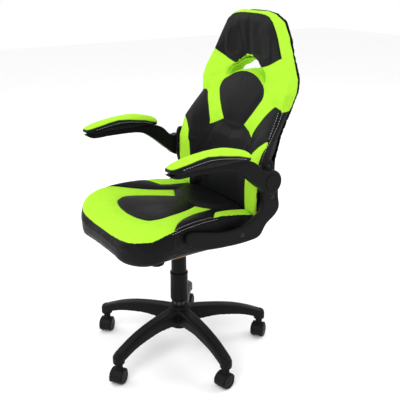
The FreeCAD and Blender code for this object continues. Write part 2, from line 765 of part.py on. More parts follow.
def main():
    left_bracket = bracket()
    left_arm = arm_frame()
    screws = arm_pad_screws()
    pad = arm_pad()
    for screw in screws.Solids:
        pad = pad.cut(screw)
    bolts = []
    washers = []
    for y, z in side_bolts():
        bolts += both_sides(bracket_bolt(y, z))
        washers += both_sides(bracket_washer(y, z))
    nodes = {
        "star_base": star_base(),
        "caster_stems": caster_stems(),
        "gas_tube": gas_tube(),
        "tube_guide_bushing": tube_guide_bushing(),
        "thrust_bearing": thrust_bearing(),
        "piston_rod": piston_rod(),
        "rod_clip": rod_clip(),
        "pressure_tube": pressure_tube(),
        "release_pin": release_pin(),
        "cover_lower": cover_lower(),
        "cover_upper": cover_upper(),
        "mechanism_housing": mechanism_housing(),
        "tilt_pivot_pin": tilt_pivot_pin(),
        "tension_spring": tension_spring(),
        "tension_bolt": tension_bolt(),
        "tension_knob": tension_knob(),
        "height_lever": height_lever(),
        "lever_grip": lever_grip(),
        "seat_plate": seat_plate(),
        "mechanism_screws": mechanism_screws(),
        "seat_board": seat_board(),
        "seat_cushion": seat_cushion(),
        "seat_dust_cover": seat_dust_cover(),
        "back_board": back_board(),
        "back_cushion": back_cushion(),
        "back_rear_cover": back_rear_cover(),
        "left_bracket": left_bracket,
        "right_bracket": mirrored(left_bracket),
        "bracket_bolts": group(bolts),
        "bracket_washers": group(washers),
        "left_arm": left_arm,
        "right_arm": mirrored(left_arm),
        "left_arm_pad": pad,
        "right_arm_pad": mirrored(pad),
        "arm_pivot_pins": group(both_sides(pivot_pin())),
        "left_pivot_cap": pivot_cap(),
        "right_pivot_cap": mirrored(pivot_cap()),
        "left_arm_pad_screws": screws,
        "right_arm_pad_screws": mirrored(screws),
    }
    nodes.update(casters())
    os.makedirs("parts", exist_ok=True)
    for name, shape in nodes.items():
        state = "ok" if shape.isValid() else "BAD"
        volumes = [round(solid.Volume / 1000.0, 2) for solid in shape.Solids]
        print(name, state, volumes, "cm3")
        shape.exportStep("parts/%s.step" % name)
    print(len(nodes), "nodes")


main()
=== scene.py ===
import json
import math
import bmesh
import bpy
import numpy as np
from mathutils import Matrix, Vector
from mathutils.bvhtree import BVHTree

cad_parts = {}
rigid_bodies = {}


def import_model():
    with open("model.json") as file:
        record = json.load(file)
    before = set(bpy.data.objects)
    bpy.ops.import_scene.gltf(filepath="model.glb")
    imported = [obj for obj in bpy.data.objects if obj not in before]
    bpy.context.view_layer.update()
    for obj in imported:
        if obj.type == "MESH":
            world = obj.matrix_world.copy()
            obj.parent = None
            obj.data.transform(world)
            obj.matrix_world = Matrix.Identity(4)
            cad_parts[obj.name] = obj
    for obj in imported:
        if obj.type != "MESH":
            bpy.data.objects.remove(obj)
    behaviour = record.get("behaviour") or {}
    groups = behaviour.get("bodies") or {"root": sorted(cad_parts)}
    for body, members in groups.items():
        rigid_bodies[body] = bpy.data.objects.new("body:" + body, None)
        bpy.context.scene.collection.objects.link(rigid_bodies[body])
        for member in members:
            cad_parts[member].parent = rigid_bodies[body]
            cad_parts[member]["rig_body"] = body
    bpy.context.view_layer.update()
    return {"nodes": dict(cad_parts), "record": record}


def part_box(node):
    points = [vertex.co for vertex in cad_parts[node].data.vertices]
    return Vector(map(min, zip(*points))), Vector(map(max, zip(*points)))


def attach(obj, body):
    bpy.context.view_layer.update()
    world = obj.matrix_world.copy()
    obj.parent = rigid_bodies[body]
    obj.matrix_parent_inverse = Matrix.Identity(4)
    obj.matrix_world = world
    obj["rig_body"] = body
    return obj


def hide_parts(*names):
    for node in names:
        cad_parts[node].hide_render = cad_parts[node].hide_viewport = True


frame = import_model()
nodes = frame["nodes"]
scene = bpy.context.scene
print("frame loaded:", len(nodes), "parts")

weldGap = 0.00002  # points closer than this are one point
noSeam = 9.0  # further than any seam
shortest = 1e-14  # a line of no length, squared


def newPiece(name, mesh):
    piece = bpy.data.objects.new(name, mesh)
    scene.collection.objects.link(piece)
    return piece


def fromBmesh(name, bm):
    mesh = bpy.data.meshes.new(name)
    bm.to_mesh(mesh)
    bm.free()
    return newPiece(name, mesh)


def mergedCopy(node, name):
    bm = bmesh.new()
    bm.from_mesh(nodes[node].data)
    bmesh.ops.remove_doubles(bm, verts=bm.verts, dist=weldGap)
    bmesh.ops.dissolve_degenerate(bm, edges=bm.edges, dist=weldGap / 10)
    return fromBmesh(name, bm)


def settle(piece):  # keeps what the modifiers make and removes them
    graph = bpy.context.evaluated_depsgraph_get()
    done = bpy.data.meshes.new_from_object(piece.evaluated_get(graph))
    done.name = piece.name
    piece.modifiers.clear()
    piece.data = done


def remeshed(piece, size):
    remesh = piece.modifiers.new("remesh", "REMESH")
    remesh.mode = "VOXEL"
    remesh.voxel_size = size
    settle(piece)


def softened(piece, rounds):
    bm = bmesh.new()
    bm.from_mesh(piece.data)
    for turn in range(rounds):
        bmesh.ops.smooth_vert(bm, verts=bm.verts, factor=0.5,
                              use_axis_x=True, use_axis_y=True, use_axis_z=True)
    bm.to_mesh(piece.data)
    bm.free()


def smoothShaded(piece):
    piece.data.shade_smooth()


def subdivided(piece):
    finer = piece.modifiers.new("finer", "SUBSURF")
    finer.levels = 1
    finer.render_levels = 1
    settle(piece)


def places(piece):
    spots = np.zeros(len(piece.data.vertices) * 3)
    piece.data.vertices.foreach_get("co", spots)
    return spots.reshape(-1, 3)


def directions(piece):
    arrows = np.zeros(len(piece.data.vertices) * 3)
    piece.data.vertices.foreach_get("normal", arrows)
    return arrows.reshape(-1, 3)


def setPlaces(piece, spots):
    piece.data.vertices.foreach_set("co", np.ascontiguousarray(spots).ravel())
    piece.data.update()


def skinOf(node):
    bm = bmesh.new()
    bm.from_mesh(nodes[node].data)
    bmesh.ops.remove_doubles(bm, verts=bm.verts, dist=weldGap)
    tree = BVHTree.FromBMesh(bm)
    bm.free()
    return tree


def smoothStep(low, high, value):
    part = np.clip((value - low) / (high - low), 0, 1)
    return part * part * (3 - 2 * part)


def outlineDistance(flat, outline):  # distance to a closed outline, positive inside it
    corners = np.array(outline, float)
    inside = np.zeros(len(flat), bool)
    nearest = np.full(len(flat), noSeam)
    for a, b in zip(corners, np.roll(corners, -1, axis=0)):
        along = b - a
        if along @ along < shortest:
            continue
        part = np.clip(((flat - a) @ along) / (along @ along), 0, 1)
        nearest = np.minimum(nearest, np.linalg.norm(flat - a - part[:, None] * along, axis=1))
        crosses = (a[1] > flat[:, 1]) != (b[1] > flat[:, 1])
        with np.errstate(divide="ignore", invalid="ignore"):
            at = (b[0] - a[0]) * (flat[:, 1] - a[1]) / (b[1] - a[1]) + a[0]
        inside ^= crosses & (flat[:, 0] < at)
    return np.where(inside, nearest, -nearest)


# distance to an open seam in space, positive on the side that toward points to
def seamDistance(spots, seam, toward):
    line = np.array(seam, float)
    nearest = np.full(len(spots), noSeam)
    side = np.ones(len(spots))
    for a, b in zip(line[:-1], line[1:]):
        along = b - a
        if along @ along < shortest:
            continue
        part = np.clip(((spots - a) @ along) / (along @ along), 0, 1)
        gap = spots - a - part[:, None] * along
        far = np.linalg.norm(gap, axis=1)
        closer = far < nearest - 1e-9
        nearest = np.where(closer, far, nearest)
        side = np.where(closer, np.sign((gap * toward).sum(axis=1)), side)
    return nearest * np.where(side == 0, 1, side)


def curved(points, steps=4):  # a smooth line through listed points
    line = [np.array(p, float) for p in points]
    line = [2 * line[0] - line[1]] + line + [2 * line[-1] - line[-2]]
    out = []
    for a, b, c, d in zip(line, line[1:], line[2:], line[3:]):
        for step in range(steps):
            t = step / steps
            bend = (2 * a - 5 * b + 4 * c - d) * t * t
            twist = (3 * b - a - 3 * c + d) * t ** 3
            out.append(0.5 * (2 * b + (c - a) * t + bend + twist))
    out.append(line[-2])
    return out


def mirroredOutline(points):  # a half outline, from the middle round to the middle
    return [tuple(p) for p in points] + [(-p[0], p[1]) for p in reversed(points)]


def attribute(piece, name, values):
    values = np.asarray(values, np.float32)
    kind = "FLOAT_VECTOR" if values.ndim == 2 else "FLOAT"
    layer = piece.data.attributes.new(name, kind, "POINT")
    layer.data.foreach_set("vector" if values.ndim == 2 else "value", values.ravel())


def group(name, sockets):
    tree = bpy.data.node_groups.new(name, "ShaderNodeTree")
    for way, label, kind, value in sockets:
        socket = tree.interface.new_socket(label, in_out=way, socket_type=kind)
        if way == "INPUT" and value is not None:
            socket.default_value = value
    return tree, tree.nodes.new("NodeGroupInput"), tree.nodes.new("NodeGroupOutput")


def mathNode(tree, operation, first, second):
    node = tree.nodes.new("ShaderNodeMath")
    node.operation = operation
    for slot, value in ((0, first), (1, second)):
        if isinstance(value, (int, float)):
            node.inputs[slot].default_value = value
        else:
            tree.links.new(value, node.inputs[slot])
    return node.outputs[0]


def leatherGroup():
    tree, inside, outside = group("leatherGrain", [
        ("INPUT", "Vector", "NodeSocketVector", None),
        ("INPUT", "Pebble", "NodeSocketFloat", 620.0),
        ("OUTPUT", "Height", "NodeSocketFloat", None),
        ("OUTPUT", "Shade", "NodeSocketFloat", None)])
    cells = tree.nodes.new("ShaderNodeTexVoronoi")
    cells.feature = "DISTANCE_TO_EDGE"
    tree.links.new(inside.outputs["Vector"], cells.inputs["Vector"])
    tree.links.new(inside.outputs["Pebble"], cells.inputs["Scale"])
    creases = tree.nodes.new("ShaderNodeTexNoise")
    creases.inputs["Scale"].default_value = 85.0
    creases.inputs["Detail"].default_value = 5.0
    tree.links.new(inside.outputs["Vector"], creases.inputs["Vector"])
    broad = tree.nodes.new("ShaderNodeTexNoise")
    broad.inputs["Scale"].default_value = 11.0
    broad.inputs["Detail"].default_value = 3.0
    tree.links.new(inside.outputs["Vector"], broad.inputs["Vector"])
    pebble = mathNode(tree, "MINIMUM", mathNode(tree, "MULTIPLY", cells.outputs["Distance"], 3.0), 1.0)
    folds = mathNode(tree, "MULTIPLY", creases.outputs[0], 0.8)
    height = mathNode(tree, "ADD", mathNode(tree, "MULTIPLY", pebble, 0.6), folds)
    tree.links.new(height, outside.inputs["Height"])
    tree.links.new(broad.outputs[0], outside.inputs["Shade"])
    return tree


def weaveGroup():
    tree, inside, outside = group("spacerMesh", [
        ("INPUT", "Vector", "NodeSocketVector", None),
        ("INPUT", "Pitch", "NodeSocketFloat", 430.0),
        ("OUTPUT", "Height", "NodeSocketFloat", None),
        ("OUTPUT", "Hole", "NodeSocketFloat", None),
        ("OUTPUT", "Slub", "NodeSocketFloat", None)])
    turn = tree.nodes.new("ShaderNodeMapping")
    turn.inputs["Rotation"].default_value = (0, 0, math.radians(45))
    tree.links.new(inside.outputs["Vector"], turn.inputs["Vector"])
    holes = tree.nodes.new("ShaderNodeTexVoronoi")
    holes.voronoi_dimensions = "2D"
    holes.inputs["Randomness"].default_value = 0.12
    tree.links.new(turn.outputs[0], holes.inputs["Vector"])
    tree.links.new(inside.outputs["Pitch"], holes.inputs["Scale"])
    threads = tree.nodes.new("ShaderNodeTexNoise")
    threads.inputs["Scale"].default_value = 900.0
    threads.inputs["Detail"].default_value = 2.0
    tree.links.new(inside.outputs["Vector"], threads.inputs["Vector"])
    slub = tree.nodes.new("ShaderNodeTexNoise")
    slub.inputs["Scale"].default_value = 40.0
    slub.inputs["Detail"].default_value = 4.0
    tree.links.new(inside.outputs["Vector"], slub.inputs["Vector"])
    ring = tree.nodes.new("ShaderNodeMapRange")
    ring.inputs["From Min"].default_value = 0.16
    ring.inputs["From Max"].default_value = 0.34
    tree.links.new(holes.outputs["Distance"], ring.inputs["Value"])
    height = mathNode(tree, "ADD", ring.outputs[0], mathNode(tree, "MULTIPLY", threads.outputs[0], 0.35))
    tree.links.new(height, outside.inputs["Height"])
    # Hole marks the mesh holes, which the finish paints darker green as painted shade
    tree.links.new(mathNode(tree, "SUBTRACT", 1.0, ring.outputs[0]), outside.inputs["Hole"])
    tree.links.new(slub.outputs[0], outside.inputs["Slub"])
    return tree


def mouldedGroup():
    tree, inside, outside = group("mouldedGrain", [
        ("INPUT", "Vector", "NodeSocketVector", None),
        ("INPUT", "Grain", "NodeSocketFloat", 900.0),
        ("OUTPUT", "Height", "NodeSocketFloat", None),
        ("OUTPUT", "Handling", "NodeSocketFloat", None)])
    spark = tree.nodes.new("ShaderNodeTexNoise")
    spark.inputs["Detail"].default_value = 3.0
    tree.links.new(inside.outputs["Vector"], spark.inputs["Vector"])
    tree.links.new(inside.outputs["Grain"], spark.inputs["Scale"])
    marks = tree.nodes.new("ShaderNodeTexNoise")
    marks.inputs["Scale"].default_value = 22.0
    marks.inputs["Detail"].default_value = 6.0
    marks.inputs["Roughness"].default_value = 0.62
    tree.links.new(inside.outputs["Vector"], marks.inputs["Vector"])
    tree.links.new(spark.outputs[0], outside.inputs["Height"])
    tree.links.new(marks.outputs[0], outside.inputs["Handling"])
    return tree


leatherGrain = leatherGroup()
spacerMesh = weaveGroup()
mouldedGrain = mouldedGroup()


def blank(name):
    material = bpy.data.materials.new(name)
    material.use_nodes = True
    tree = material.node_tree
    return material, tree, tree.nodes["Principled BSDF"]


def groupNode(tree, source, vector, **values):
    node = tree.nodes.new("ShaderNodeGroup")
    node.node_tree = source
    tree.links.new(vector, node.inputs["Vector"])
    for label, value in values.items():
        node.inputs[label].default_value = value
    return node


def ramp(tree, value, low, high, start, end):
    node = tree.nodes.new("ShaderNodeMapRange")
    node.inputs["From Min"].default_value = low
    node.inputs["From Max"].default_value = high
    node.inputs["To Min"].default_value = start
    node.inputs["To Max"].default_value = end
    tree.links.new(value, node.inputs["Value"])
    return node.outputs[0]


def colourMix(tree, factor, first, second):
    node = tree.nodes.new("ShaderNodeMix")
    node.data_type = "RGBA"
    tree.links.new(factor, node.inputs[0])
    for socket, value in ((node.inputs[6], first), (node.inputs[7], second)):
        if isinstance(value, tuple):
            socket.default_value = (*value, 1.0)
        else:
            tree.links.new(value, socket)
    return node.outputs[2]


def bump(tree, height, distance, strength, previous=None):
    node = tree.nodes.new("ShaderNodeBump")
    node.inputs["Distance"].default_value = distance
    node.inputs["Strength"].default_value = strength
    tree.links.new(height, node.inputs["Height"])
    if previous is not None:
        tree.links.new(previous, node.inputs["Normal"])
    return node.outputs[0]


plasticSettings = {
    "moulded_plastic": {"dark": (0.0030, 0.0030, 0.0035), "pale": (0.0062, 0.0062, 0.0070),
                        "roughness": (0.36, 0.52), "grain": 900.0, "depth": 0.00012},
    "base_nylon": {"dark": (0.0030, 0.0030, 0.0034), "pale": (0.0060, 0.0060, 0.0066),
                   "roughness": (0.40, 0.56), "grain": 1100.0, "depth": 0.00012},
    "caster_plastic": {"dark": (0.0044, 0.0044, 0.0050), "pale": (0.0090, 0.0090, 0.0098),
                       "roughness": (0.34, 0.55), "grain": 1300.0, "depth": 0.00008},
    "sleeve_plastic": {"dark": (0.0036, 0.0036, 0.0040), "pale": (0.0070, 0.0070, 0.0078),
                       "roughness": (0.38, 0.54), "grain": 1200.0, "depth": 0.0001},
    "bush_plastic": {"dark": (0.35, 0.35, 0.34), "pale": (0.46, 0.46, 0.44),
                     "roughness": (0.4, 0.55), "grain": 1200.0, "depth": 0.00006},
    "plywood": {"dark": (0.30, 0.19, 0.10), "pale": (0.45, 0.31, 0.18),
                "roughness": (0.55, 0.75), "grain": 240.0, "depth": 0.0002},
}

metalSettings = {
    "column_black": {"colour": (0.012, 0.012, 0.013), "metallic": 0.0, "roughness": (0.26, 0.38)},
    "mechanism_steel": {"colour": (0.014, 0.014, 0.015), "metallic": 0.2, "roughness": (0.42, 0.58)},
    "spring_steel": {"colour": (0.24, 0.23, 0.22), "metallic": 1.0, "roughness": (0.3, 0.5)},
    "steel": {"colour": (0.55, 0.55, 0.56), "metallic": 1.0, "roughness": (0.22, 0.38)},
    "steel_black": {"colour": (0.02, 0.02, 0.021), "metallic": 0.6, "roughness": (0.3, 0.45)},
}
worn = (0.3, 0.7)  # where handling marks start and end
plasticGloss = 0.09
metalGrain = {"size": 1500.0, "depth": 0.00004, "polish": 1.35}


def plasticMaterial(name, look):
    material, tree, shader = blank(name)
    coords = tree.nodes.new("ShaderNodeTexCoord")
    grain = groupNode(tree, mouldedGrain, coords.outputs["Object"], Grain=look["grain"])
    marks = grain.outputs["Handling"]
    tree.links.new(colourMix(tree, marks, look["dark"], look["pale"]), shader.inputs["Base Color"])
    tree.links.new(ramp(tree, marks, *worn, *look["roughness"]), shader.inputs["Roughness"])
    tree.links.new(bump(tree, grain.outputs["Height"], look["depth"], 0.5), shader.inputs["Normal"])
    shader.inputs["Specular IOR Level"].default_value = plasticGloss
    return material


def metalMaterial(name, look):
    material, tree, shader = blank(name)
    coords = tree.nodes.new("ShaderNodeTexCoord")
    grain = groupNode(tree, mouldedGrain, coords.outputs["Object"], Grain=metalGrain["size"])
    pale = tuple(min(1.0, c * metalGrain["polish"]) for c in look["colour"])
    marks = grain.outputs["Handling"]
    tree.links.new(colourMix(tree, marks, look["colour"], pale), shader.inputs["Base Color"])
    tree.links.new(ramp(tree, marks, *worn, *look["roughness"]), shader.inputs["Roughness"])
    tree.links.new(bump(tree, grain.outputs["Height"], metalGrain["depth"], 0.4), shader.inputs["Normal"])
    shader.inputs["Metallic"].default_value = look["metallic"]
    return material


coverSettings = {
    "black": (0.0030, 0.0030, 0.0036), "blackWorn": (0.0062, 0.0062, 0.0070),
    "green": (0.395, 0.74, 0.036), "greenDeep": (0.31, 0.63, 0.020),
    # hole is the darker green painted into the mesh holes: painted shade inside them
    "hole": (0.10, 0.24, 0.006), "seamColour": (0.003, 0.003, 0.003), "seamShade": (0.30, 0.32, 0.28),
    "leatherRough": (0.36, 0.50), "meshRough": 0.86, "gloss": 0.07,
    "pebble": 620.0, "pitch": 400.0, "edge": 0.0007, "seamWidth": 0.00176,
}


# black leather with green mesh panels, split by the greenSide attribute
def coverMaterial(name, look, green=True):
    material, tree, shader = blank(name)
    coords = tree.nodes.new("ShaderNodeTexCoord")
    leather = groupNode(tree, leatherGrain, coords.outputs["Object"], Pebble=look["pebble"])
    seam = tree.nodes.new("ShaderNodeAttribute")
    seam.attribute_name = "seamGap"
    crease = ramp(tree, seam.outputs["Fac"], 0.0, look["seamWidth"], 0.0, 1.0)
    black = colourMix(tree, leather.outputs["Shade"], look["black"], look["blackWorn"])
    blackRough = ramp(tree, leather.outputs["Shade"], *worn, *look["leatherRough"])
    leatherNormal = bump(tree, leather.outputs["Height"], 0.00022, 0.55)
    shader.inputs["Specular IOR Level"].default_value = look["gloss"]
    if not green:
        colour = colourMix(tree, crease, look["seamColour"], black)
        tree.links.new(colour, shader.inputs["Base Color"])
        tree.links.new(blackRough, shader.inputs["Roughness"])
        tree.links.new(bump(tree, crease, 0.0006, 0.6, leatherNormal), shader.inputs["Normal"])
        return material
    cloth = tree.nodes.new("ShaderNodeAttribute")
    cloth.attribute_name = "cloth"
    weave = groupNode(tree, spacerMesh, cloth.outputs["Vector"], Pitch=look["pitch"])
    panel = tree.nodes.new("ShaderNodeAttribute")
    panel.attribute_name = "greenSide"
    split = ramp(tree, panel.outputs["Fac"], -look["edge"], look["edge"], 0.0, 1.0)
    slub = ramp(tree, weave.outputs["Slub"], *worn, 0.0, 0.35)
    bright = colourMix(tree, slub, look["green"], look["greenDeep"])
    # the mesh holes are painted darker green: painted shade inside the holes
    holed = colourMix(tree, mathNode(tree, "MULTIPLY", weave.outputs["Hole"], 0.42), bright, look["hole"])
    colour = colourMix(tree, split, black, holed)
    shadeAtSeam = tree.nodes.new("ShaderNodeMix")
    shadeAtSeam.data_type = "RGBA"
    shadeAtSeam.blend_type = "MULTIPLY"
    shadeAtSeam.inputs[0].default_value = 1.0
    tree.links.new(colour, shadeAtSeam.inputs[6])
    dark = colourMix(tree, crease, look["seamShade"], (1.0, 1.0, 1.0))
    tree.links.new(dark, shadeAtSeam.inputs[7])
    tree.links.new(shadeAtSeam.outputs[2], shader.inputs["Base Color"])
    rough = tree.nodes.new("ShaderNodeMix")
    tree.links.new(split, rough.inputs[0])
    tree.links.new(blackRough, rough.inputs[2])
    rough.inputs[3].default_value = look["meshRough"]
    tree.links.new(rough.outputs[0], shader.inputs["Roughness"])
    height = tree.nodes.new("ShaderNodeMix")
    tree.links.new(split, height.inputs[0])
    tree.links.new(leather.outputs["Height"], height.inputs[2])
    tree.links.new(weave.outputs["Height"], height.inputs[3])
    surface = bump(tree, height.outputs[0], 0.00026, 0.6)
    tree.links.new(bump(tree, crease, 0.0008, 0.7, surface), shader.inputs["Normal"])
    return material


def threadMaterial():
    material, tree, shader = blank("stitchThread")
    coords = tree.nodes.new("ShaderNodeTexCoord")
    twist = tree.nodes.new("ShaderNodeTexWave")
    twist.inputs["Scale"].default_value = 700.0
    twist.inputs["Distortion"].default_value = 1.5
    tree.links.new(coords.outputs["Object"], twist.inputs["Vector"])
    spun = colourMix(tree, twist.outputs["Fac"], (0.42, 0.41, 0.39), (0.66, 0.65, 0.62))
    tree.links.new(spun, shader.inputs["Base Color"])
    tree.links.new(bump(tree, twist.outputs["Fac"], 0.0001, 0.5), shader.inputs["Normal"])
    shader.inputs["Roughness"].default_value = 0.62
    return material


def dustMaterial():
    material, tree, shader = blank("dustCloth")
    coords = tree.nodes.new("ShaderNodeTexCoord")
    felt = tree.nodes.new("ShaderNodeTexNoise")
    felt.inputs["Scale"].default_value = 420.0
    felt.inputs["Detail"].default_value = 6.0
    tree.links.new(coords.outputs["Object"], felt.inputs["Vector"])
    fibres = colourMix(tree, felt.outputs[0], (0.006, 0.006, 0.006), (0.022, 0.022, 0.023))
    tree.links.new(fibres, shader.inputs["Base Color"])
    tree.links.new(bump(tree, felt.outputs[0], 0.0003, 0.8), shader.inputs["Normal"])
    shader.inputs["Roughness"].default_value = 0.9
    return material


finishes = {slot: plasticMaterial(slot, look) for slot, look in plasticSettings.items()}
finishes.update({slot: metalMaterial(slot, look) for slot, look in metalSettings.items()})
finishes["cover"] = coverMaterial("greenAndBlackCover", coverSettings)
finishes["rear"] = coverMaterial("blackRearCover", coverSettings, green=False)
finishes["thread"] = threadMaterial()
finishes["dust_cloth"] = dustMaterial()
print("finishes ready:", len(finishes))


# every part that keeps its own shape takes its finish
slotOfNode = {entry["node"]: entry["material_slot"] for entry in frame["record"]["subparts"]}
for name, node in nodes.items():
    finish = finishes.get(slotOfNode.get(name, ""), finishes["moulded_plastic"])
    node.data.materials.clear()
    node.data.materials.append(finish)


def clampedToSkin(piece, tree, proud, sunk):  # keeps a soft piece near the solid that it stands for
    spots = places(piece)
    for index, spot in enumerate(spots):
        near, normal, face, far = tree.find_nearest(Vector(spot))
        if near is None:
            continue
        offset = Vector(spot) - near
        out = offset.dot(normal)
        limit = proud[index] if out > 0 else sunk
        if abs(out) > limit:
            spots[index] = near + offset * (limit / max(far, 1e-9))
    setPlaces(piece, spots)


clothSettings = {"quality": 5, "mass": 0.35, "shear": 0.5, "frames": 20}


def inflated(piece, gapOf, look):  # cloth under pressure, held down along its seams
    start = places(piece)
    hold = piece.vertex_groups.new(name="seams")
    gap = gapOf(start)
    weights = np.clip(1.0 - (gap - look["seamHold"]) / look["seamHold"], 0.0, 1.0)
    for index in np.nonzero(weights > 0.02)[0]:
        hold.add([int(index)], float(weights[index]), "REPLACE")
    cloth = piece.modifiers.new("cloth", "CLOTH")
    cloth.settings.quality = clothSettings["quality"]
    cloth.settings.mass = clothSettings["mass"]
    cloth.settings.tension_stiffness = look["tension"]
    cloth.settings.compression_stiffness = look["tension"]
    cloth.settings.shear_stiffness = look["tension"] * clothSettings["shear"]
    cloth.settings.bending_stiffness = look["bending"]
    cloth.settings.use_pressure = True
    cloth.settings.uniform_pressure_force = look["pressure"]
    cloth.settings.effector_weights.gravity = 0.0
    cloth.settings.vertex_group_mass = "seams"
    cloth.collision_settings.use_collision = False
    cloth.point_cache.frame_start = 1
    cloth.point_cache.frame_end = clothSettings["frames"]
    for step in range(1, clothSettings["frames"] + 1):
        scene.frame_set(step)
    settle(piece)
    scene.frame_set(1)
    end = places(piece)
    move = end - start
    reach = np.linalg.norm(move, axis=1)
    factor = np.minimum(1.0, look["cap"] / np.maximum(reach, 1e-9))
    setPlaces(piece, start + move * factor[:, None])
    piece.vertex_groups.clear()
    furthest = float(np.minimum(reach, look["cap"]).max())
    print(piece.name, "filled, moved up to", round(furthest * 1000, 1), "mm")


def panelLift(gap, look):  # padding rises away from its seams and sinks along them
    rise = look["pillow"] * smoothStep(0.0, look["swell"], gap)
    return rise - look["groove"] * np.exp(-(gap / look["grooveWidth"]) ** 2)


noGap = 0.03  # told to the finish where no seam runs
beside = 0.0006  # how far a cushion may swell beside a bracket


seatSettings = {
    "voxel": 0.005, "shrink": 0.0025, "cap": 0.008, "pressure": 4.0, "tension": 14.0, "bending": 4.0,
    "seamHold": 0.004, "proud": 0.0045, "sunk": 0.006, "groove": 0.0024, "grooveWidth": 0.0036,
    "pillow": 0.0022, "swell": 0.035, "underside": 0.50, "wrapped": 0.47, "ripple": 0.0009,
    # the sewn edge between top and sides, from the middle of the front to the back
    "edge": [(0, -0.292, 0.522), (0.10, -0.289, 0.523), (0.173, -0.278, 0.528), (0.225, -0.247, 0.539),
             (0.245, -0.228, 0.548), (0.254, -0.185, 0.561), (0.249, -0.124, 0.569), (0.244, -0.070, 0.575),
             (0.236, 0.014, 0.573), (0.230, 0.073, 0.563), (0.225, 0.153, 0.546), (0.220, 0.230, 0.540)],
    # the black tongue, the green bolsters and the green strips beside the back, seen from above
    "tongue": [(0, -0.192), (0.055, -0.188), (0.105, -0.175), (0.123, -0.155), (0.128, -0.133),
               (0.117, -0.093), (0.102, -0.050), (0.081, -0.003), (0.064, 0.027)],
    "bolster": [(0.120, 0.056), (0.144, -0.020), (0.171, -0.072), (0.200, -0.112), (0.228, -0.143),
                (0.253, -0.166), (0.330, -0.220)],
    "insert": [(0.42, -0.157), (0.238, -0.016), (0.210, 0.006), (0.174, 0.034), (0.167, 0.070),
               (0.170, 0.120), (0.176, 0.170), (0.176, 0.30), (0.42, 0.30)],
}


def seatEdgeDistance(spots, look):
    edge = curved(look["edge"], 4)
    half = spots.copy()
    half[:, 0] = np.maximum(np.abs(half[:, 0]), 0.001)
    toward = np.zeros_like(half)
    inward = -half[:, :2]
    inward /= np.maximum(np.linalg.norm(inward, axis=1), 1e-6)[:, None]
    toward[:, :2] = inward * 0.6
    toward[:, 2] = 0.8
    return seamDistance(half, edge, toward)


def seatPanels(spots, look):  # returns distance into green, and distance to any seam
    half = np.column_stack((np.abs(spots[:, 0]), spots[:, 1]))
    top = seatEdgeDistance(spots, look)
    tongue = [tuple(p) for p in curved(look["tongue"], 4)]
    bolster = [tuple(p) for p in curved(look["bolster"], 4)]
    ring = [(-0.02, -0.45), (-0.02, -0.192)] + tongue + bolster + [(0.45, -0.30), (0.45, -0.45)]
    body = outlineDistance(half, ring)
    insert = outlineDistance(half, look["insert"])
    green = np.maximum(np.minimum(body, top), np.minimum(insert, top))
    aloft = top > -0.004
    gap = np.minimum(np.abs(top), np.where(aloft, np.minimum(np.abs(body), np.abs(insert)), noSeam))
    return green, np.where(spots[:, 2] < look["underside"], noGap, gap)


def seatCover(look):
    seat = mergedCopy("seat_cushion", "seatCover")
    remeshed(seat, look["voxel"])
    softened(seat, 3)
    spots = places(seat)
    above = smoothStep(look["wrapped"], look["underside"], spots[:, 2])[:, None]
    setPlaces(seat, spots - directions(seat) * look["shrink"] * above)
    inflated(seat, lambda at: seatPanels(at, look)[1], look)
    softened(seat, 1)
    subdivided(seat)
    spots = places(seat)
    green, gap = seatPanels(spots, look)
    lift = panelLift(gap, look)
    above = smoothStep(look["wrapped"], look["underside"], spots[:, 2])
    side = smoothStep(0.0, 0.02, -seatEdgeDistance(spots, look)) * above
    waves = np.sin(spots[:, 1] * 95 + spots[:, 0] * 40) * np.sin(spots[:, 2] * 120 + spots[:, 1] * 20)
    ripple = look["ripple"] * waves * side
    setPlaces(seat, spots + directions(seat) * ((lift + ripple) * above)[:, None])
    besideBracket = (np.abs(spots[:, 0]) > 0.22) & (spots[:, 2] < 0.56) & (spots[:, 1] > -0.16)
    proud = np.where(besideBracket, beside, look["proud"])
    proud *= np.where(spots[:, 2] < look["underside"], 0.15, 1.0)
    clampedToSkin(seat, skinOf("seat_cushion"), proud, look["sunk"])
    spots = places(seat)
    green, gap = seatPanels(spots, look)
    attribute(seat, "greenSide", green)
    attribute(seat, "seamGap", gap)
    attribute(seat, "cloth", np.column_stack((spots[:, 0], spots[:, 1], np.zeros(len(spots)))))
    seat.data.materials.clear()
    seat.data.materials.append(finishes["cover"])
    smoothShaded(seat)
    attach(seat, "seat")
    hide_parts("seat_cushion")
    print("seat cover:", len(seat.data.polygons), "faces")
    return seat


